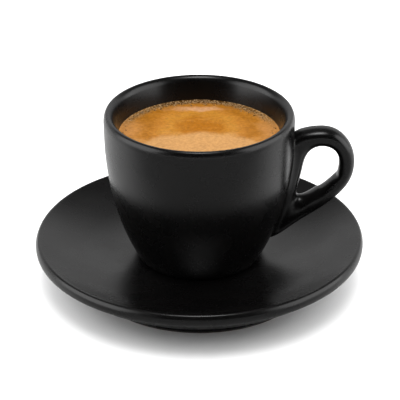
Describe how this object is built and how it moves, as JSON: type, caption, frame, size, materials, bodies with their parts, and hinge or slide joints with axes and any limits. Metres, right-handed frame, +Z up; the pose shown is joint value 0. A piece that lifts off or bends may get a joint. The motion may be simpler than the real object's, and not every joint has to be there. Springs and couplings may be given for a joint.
{
  "type": "espresso shot",
  "caption": "Espresso with golden crema in a black satin stoneware cup with a ring handle, standing on its matching saucer.",
  "frame": {"origin": "on the table under the cup's axis, at the middle of the saucer's foot ring", "axes": "+Z up along the cup's axis, +X towards the handle"},
  "size_m": [0.1206, 0.1206, 0.0667],
  "materials": {
    "black_glaze": "satin",
    "espresso_crema": "fine wet foam"
  },
  "bodies": {
    "root": {"saucer": "black_glaze", "cup": "black_glaze", "espresso": "espresso_crema"}
  },
  "joints": []
}
